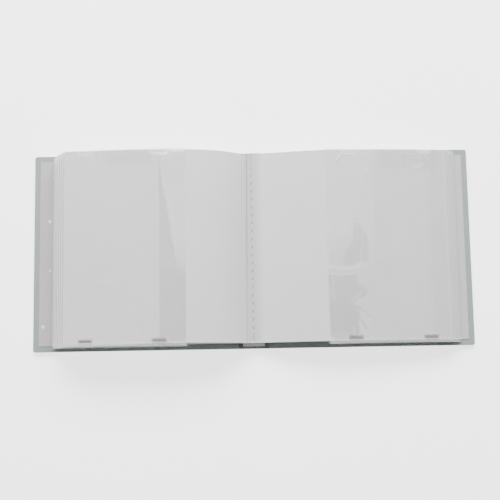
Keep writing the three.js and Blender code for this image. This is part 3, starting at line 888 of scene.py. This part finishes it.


# The shapes of the two open films. Numbers beside across and y are places and widths in millimetres, across from the
# inner edge of the film and y up the page. The others are heights in millimetres or shares of haze, painted light and
# painted shade.


def left_relief(across, y):
    """Folds and lifts of the left film above the page, and its clouding with painted highlights and painted shade."""
    free = 1 - smooth(0, 32, across)
    body = 0.55 * np.cos(math.pi * y / (LEAF_HEIGHT + 8)) * (0.35 + 0.65 * free)
    path = rounded_path(SLANTED_FOLD)
    slanted = np.interp(-y, [-point[1] for point in path], [point[0] for point in path])
    slanted_shown = smooth(-16, 4, y)
    slanted_fold = 0.5 * bump(0, 2.6, across - slanted) * slanted_shown
    upright_fold = 0.35 * bump(UPRIGHT_FOLD, 2.0, across) * (1 - smooth(35, 60, y))
    corner = 1.3 * smooth(50, 84, y) * (1 - smooth(0, 40, across))
    rise, haze_and_painted_light = draw_strokes(LEFT_STROKES, across, y)
    beside = smooth(-1.4, 1.4, across - slanted)
    # bright: a painted highlight beside the slanted fold, and a thin one along it.
    bright = 0.45 * (1 - beside) * smooth(-30, 10, y) + 0.12 * bump(-1.8, 2.6, across - slanted) * slanted_shown
    inside = 1 - smooth(UPRIGHT_FOLD - 2.6, UPRIGHT_FOLD - 0.6, across)
    # wedge and zone: painted shadow of the lifted flap by the inner edge, beside the slanted fold and low down.
    wedge_shade = 0.24 * beside * inside * (1 - smooth(62, 80, y))
    zone_shade = 0.30 * inside * (1 - smooth(-26, 4, y))
    # glint: a painted glint along the upright fold. head: painted darker toward the head.
    glint = 0.22 * bump(UPRIGHT_FOLD + 0.6, 1.6, across) * (1 - smooth(40, 70, y))
    head = 0.12 * smooth(66, 76, y) * smooth(24, 30, across) * (1 - smooth(64, 76, across))
    relief = body + slanted_fold + upright_fold + corner + rise + 0.12 * wave(across * 2, y * 1.6, 1.7)
    # low: a painted sheen, lighter toward the tail and away from the inner edge.
    low = 0.45 * smooth(-10, -72, y) * smooth(24, 60, across)
    return relief, 0.5 + bright - np.maximum(wedge_shade, zone_shade) + glint - head + low + haze_and_painted_light


def right_relief(across, y):
    """Bulge, creases and wrinkles of the right film above the page, and its clouding, with a painted highlight and
    areas painted darker.
    """
    body = 0.8 * np.cos(math.pi * y / (LEAF_HEIGHT + 8)) * (1 - smooth(0, 100, across))
    bulge = 1.2 * bump(0, 1, np.hypot((across - 12) / 27, (y - 2) / 24))
    patch = soft_area(DARKER_PATCH, across, y, 2.4)
    block = soft_area(DARKER_BLOCK, across, y, 1.5)
    fading = (0.75 + 0.25 * smooth(-40, -60, y)) * (1 - 0.5 * smooth(-72, -79, y)) * smooth(-1.5, 1.5, across)
    rise, haze_and_painted_light = draw_strokes(RIGHT_STROKES, across, y)
    # head: painted darker toward the head. light: a painted sheen by the inner edge. The patch and block are painted
    # darker.
    head = 0.12 * smooth(58, 74, y) * smooth(40, 52, across) * (1 - smooth(92, 100, across))
    relief = body + bulge + 0.45 * block + rise + 0.12 * wave(across * 2, y * 1.6, 5.2)
    light = 0.35 * (1 - smooth(26, 44, across)) * smooth(-14, 20, y) * (1 - patch)
    return relief, 0.42 - 0.16 * patch * smooth(30, 12, y) - 0.30 * block * fading - head + light + haze_and_painted_light


RELIEF = {"left": left_relief, "right": right_relief}

# The thickness of the film, and how far its underside lies above the page: on the open leaves, where they press it
# down, and on the covered leaves
FILM = 0.1
FILM_LIFT = 0.12
PRESSED_LIFT = 0.03
COVERED_LIFT = 0.04

# How far the tail and head of a film stay inside the pocket's box where it isn't loose, how its ends curl down past
# the leaf, and how far its inner edge wavers
TAIL_PULL = 0.5
HEAD_PULL = 0.7
END_CURL = 0.04
INNER_WAVER = 0.25


def film_place(name, side, leaf, distance, y):
    """Height of the underside of the film, in millimetres, and its clouding with painted highlights and painted
    shade.
    """
    page = leaf_height(leaf, distance) + sheet_wave(side, leaf, distance, y) + CARD / 2
    sunk = notch_sink(leaf, distance, y)
    sink = sunk * (CARD / 2 + FILM_LIFT)
    if not leaf["is_top"]:
        # Covered leaves: a painted highlight toward the fore-edge, on the left side only.
        outward = smooth(leaf["fore"] - 14, leaf["fore"] - 3, distance)
        return page + COVERED_LIFT - sink, 0.5 + side["fan_edge_highlight"] * outward
    relief, haze_and_painted_light = RELIEF[name](distance - side["pocket"], y)
    wrinkles = tugs(leaf, distance, y)
    rise = (np.maximum(relief, 0.0) * (1 - welded(leaf, distance, y)) + wrinkles) * (1 - sunk)
    # Painted highlights along the film's outer edge, on the wrinkles by the welds, on the notch rims and along the
    # tail.
    haze_and_painted_light = haze_and_painted_light + 0.3 * bump(leaf["film_edge"] - 0.9, 0.9, distance) + 0.4 * wrinkles
    haze_and_painted_light = haze_and_painted_light + 0.4 * notch_rim_highlights(leaf, distance, y) + 0.3 * bump(LEAF_LOW + 0.6, 1.7, y) * (1 - sunk)
    return page + np.maximum(FILM_LIFT + rise, PRESSED_LIFT) - sink, haze_and_painted_light


def film_ends(side, leaf, distance):
    """The tail and head of the film: loose corners reach a little further by its inner edge."""
    held = smooth(side["pocket"], side["pocket"] + 50, distance) if leaf["is_top"] else 1.0
    return LEAF_LOW - POCKET_PAST_TAIL + TAIL_PULL * held, LEAF_HIGH + POCKET_PAST_HEAD - HEAD_PULL * held


def make_film(name, side, index, leaf):
    """The clear pocket on one leaf: a film welded at the fore-edge and in the notches, open to the gutter."""
    columns, rows = OPEN_FILM_GRID if leaf["is_top"] else COVERED_FILM_GRID
    across = np.linspace(side["pocket"], leaf["film_edge"], columns + 1)
    distance, share = np.meshgrid(across, np.linspace(0, 1, rows + 1))
    low, high = film_ends(side, leaf, distance)
    y = low + (high - low) * share
    height, haze_and_painted_light = film_place(name, side, leaf, distance, y)
    past = np.maximum(np.maximum(LEAF_LOW - y, y - LEAF_HIGH), 0)
    height = height - END_CURL * past * past
    # The end that curls past the leaf: painted a little darker at first, then with a painted highlight along its
    # edge.
    haze_and_painted_light = haze_and_painted_light - 0.1 * smooth(0.2, 0.8, past) + 0.4 * smooth(1.6, 2.4, past)
    x = side["sign"] * (distance + INNER_WAVER * wave(0 * y, y * 1.4, index) * bump(side["pocket"], 6, distance))
    top = [[Vector(point) * MM for point in row] for row in np.dstack((x, y, height + FILM))]
    bottom = [[Vector(point) * MM for point in row] for row in np.dstack((x, y, height))]
    places = np.dstack((distance * MM, y * MM, 0 * y + index * PATTERN_STEP)).reshape(-1, 3)
    vertices, faces = closed_sheet(top, bottom)
    film = make_object(f"film_{name}_{index + 1}", vertices, faces, "film", np.concatenate((places, places)))
    give_values(film, "film_haze_and_painted_light", np.tile(haze_and_painted_light.ravel(), 2))
    sharpen(film)
    if leaf["is_top"]:
        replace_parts(film, f"photo_pocket_{name}")
    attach(film, f"leaf_{name}_{index + 1}")


# The pressed band of a weld: how far it stays inside its notch, along and across, its thickness and its ribs
WELD_END_INSET = 0.5
WELD_INSET = 0.2
WELD_THICKNESS = 0.15
WELD_RIB = 0.03


def make_weld(name, side, index, leaf, number, distance, end):
    """The pressed band inside a notch, on the film and just below the page, with its fine ribs."""
    inward = 1 if end < 0 else -1
    lights = []

    def spot(along, up):
        depth = WELD_INSET + (NOTCH_DEPTH - 2 * WELD_INSET) * up
        across = (along - 0.5) * (NOTCH_LENGTH - 2 * WELD_END_INSET)
        rim = smooth(NOTCH_LENGTH / 2 - 1.6, NOTCH_LENGTH / 2 - 0.6, abs(across))
        # Painted light: the whole weld at the head; at the tail only by the notch's mouth and on its rims, the rest
        # painted shade.
        lights.append(1.0 if end > 0 else max(1 - smooth(0.3, 1.3, depth), 0.6 * rim))
        x, y = distance + across, end + inward * depth
        height = leaf_height(leaf, x) + sheet_wave(side, leaf, x, y)
        rib = WELD_RIB * math.sin(across * 7) * math.sin(math.pi * up)
        return side["sign"] * x, y, height, height + WELD_THICKNESS + rib

    vertices, faces = drawn_sheet(*WELD_GRID, spot)
    piece = make_object(f"weld_{name}_{index + 1}_{number}", vertices, faces, "weld")
    give_values(piece, "weld_painted_light", np.array(lights + lights))
    sharpen(piece)
    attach(piece, f"leaf_{name}_{index + 1}")


# Sewing


def make_thread():
    """The running thread in the fold, rounded, dipping into its hole at the end of each stitch."""
    shown = FOLD_HEIGHT + CARD / 2 + THREAD_LIFT
    count = int((LEAF_HEIGHT - 2 * THREAD_END_MARGIN) // STITCH_PITCH)
    start = LEAF_OFFSET - count * STITCH_PITCH / 2
    sides, steps = 10, 16
    vertices, faces = [], []
    for stitch in range(count):
        begin = start + stitch * STITCH_PITCH
        faces += tube_faces(len(vertices), steps, sides)
        for step in range(steps + 1):
            share = step / steps
            y = begin + share * (STITCH_SHOWN + STITCH_HIDDEN)
            dip = STITCH_DIP * (smooth(0.3, 0.0, share) + smooth(0.7, 1.0, share))
            for turn in range(sides):
                angle = 2 * math.pi * turn / sides
                x, z = THREAD_RADIUS * math.cos(angle), THREAD_RADIUS * math.sin(angle)
                vertices.append(Vector((x, y, shown - dip + z)) * MM)
    thread = make_object("stitches", vertices, faces, "thread")
    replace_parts(thread, "sewing_thread")
    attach(thread, "spine")


# Case


def make_joint(name, side):
    """The flexing cloth between the spine and one board, arched up a little."""
    def spot(along, up):
        x = SPINE_HALF + along * (BOARD_START - SPINE_HALF)
        arch = JOINT_ARCH * math.sin(math.pi * along) ** 2
        return side["sign"] * x, COVER_HALF * (2 * up - 1), arch, CLOTH + arch

    vertices, faces = drawn_sheet(*JOINT_GRID, spot)
    joint = make_object(f"hinge_cloth_{name}", vertices, faces, "cloth")
    sharpen(joint)
    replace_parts(joint, f"joint_cloth_{name}")
    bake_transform(joint)


def dress_nodes():
    """Gives the rigid pieces that stay as modelled their own finish."""
    finishes = {"spine_board": "board", "spine_cloth": "cloth", "back_liner": "liner"}
    for name in SIDES:
        finishes[f"cover_board_{name}"] = "board"
        finishes[f"cover_cloth_{name}"] = "cloth"
        finishes[f"endpaper_{name}"] = f"endpaper_{name}"
    for node, finish in finishes.items():
        materials = frame["nodes"][node].data.materials
        materials.clear()
        materials.append(MATERIALS[finish])


# Stage


CAMERA_DISTANCE = 0.900
CAMERA_ELEVATION = math.radians(81.88)
CAMERA_ROLL = math.radians(-1.008)
CAMERA_AIM = Vector((-0.00195, 0.00017, 0.0))
CAMERA_FOCAL = 1029.56
IMAGE_WIDTH = 500
SENSOR_WIDTH = 36

KEY_LIGHT = dict(position=(-0.05, 1.25, 1.05), aim=(0, 0, 0), size=(2.0, 0.8), power=91)
BACKDROP_STRENGTH = 0.22
FLOOR_HALF = 2.5
FLOOR_DROP = 0.0003
FLOOR_GLOW = 2.2


def make_camera():
    camera = bpy.data.objects.new("camera", bpy.data.cameras.new("camera"))
    camera.data.sensor_fit = "HORIZONTAL"
    camera.data.sensor_width = SENSOR_WIDTH
    camera.data.lens = CAMERA_FOCAL / IMAGE_WIDTH * SENSOR_WIDTH
    forward = Vector((0, math.cos(CAMERA_ELEVATION), -math.sin(CAMERA_ELEVATION)))
    right = Vector((1, 0, 0))
    up = right.cross(forward)
    turned = right * math.cos(CAMERA_ROLL) + up * math.sin(CAMERA_ROLL)
    upright = turned.cross(forward)
    placed = Matrix((turned, upright, -forward)).transposed().to_4x4()
    placed.translation = CAMERA_AIM - forward * CAMERA_DISTANCE
    camera.matrix_world = placed
    bpy.context.scene.collection.objects.link(camera)
    bpy.context.scene.camera = camera


def make_light(name, position, aim, size, power):
    light = bpy.data.lights.new(name, "AREA")
    light.shape = "RECTANGLE"
    light.size, light.size_y = size
    light.energy = power
    holder = bpy.data.objects.new(name, light)
    holder.location = position
    direction = Vector(aim) - Vector(position)
    holder.rotation_euler = direction.to_track_quat("-Z", "Y").to_euler()
    bpy.context.scene.collection.objects.link(holder)


def make_stage():
    floor = make_stage_floor()
    make_light("key", **KEY_LIGHT)
    world = bpy.data.worlds.new("studio")
    world.use_nodes = True
    backdrop = world.node_tree.nodes["Background"]
    backdrop.inputs["Color"].default_value = (1.0, 1.0, 1.0, 1)
    backdrop.inputs["Strength"].default_value = BACKDROP_STRENGTH
    bpy.context.scene.world = world


def make_stage_floor():
    mesh = bpy.data.meshes.new("floor")
    steps = 8
    grid = np.linspace(-FLOOR_HALF, FLOOR_HALF, steps + 1)
    vertices = [(x, y, -FLOOR_DROP) for y in grid for x in grid]
    corners = [row * (steps + 1) + column for row in range(steps) for column in range(steps)]
    faces = [(a, a + 1, a + steps + 2, a + steps + 1) for a in corners]
    mesh.from_pydata(vertices, [], faces)
    floor = bpy.data.objects.new("floor", mesh)
    floor.data.materials.append(make_floor_material())
    bpy.context.scene.collection.objects.link(floor)
    return floor


make_camera()
make_stage()
dress_nodes()
for side_name, side_sizes in SIDES.items():
    for number in range(LEAVES_PER_SIDE):
        leaf = lay_leaf(side_sizes, number)
        make_leaf(side_name, side_sizes, number, leaf)
        make_film(side_name, side_sizes, number, leaf)
    # Only the last leaf, the open one, shows its welds.
    welds = [(distance, end) for distance in leaf["notches"] for end in (LEAF_LOW, LEAF_HIGH)]
    for count, (distance, end) in enumerate(welds, 1):
        make_weld(side_name, side_sizes, number, leaf, count, distance, end)
    make_glued_back(side_name, side_sizes)
    make_joint(side_name, side_sizes)
make_thread()

bpy.context.view_layer.update()
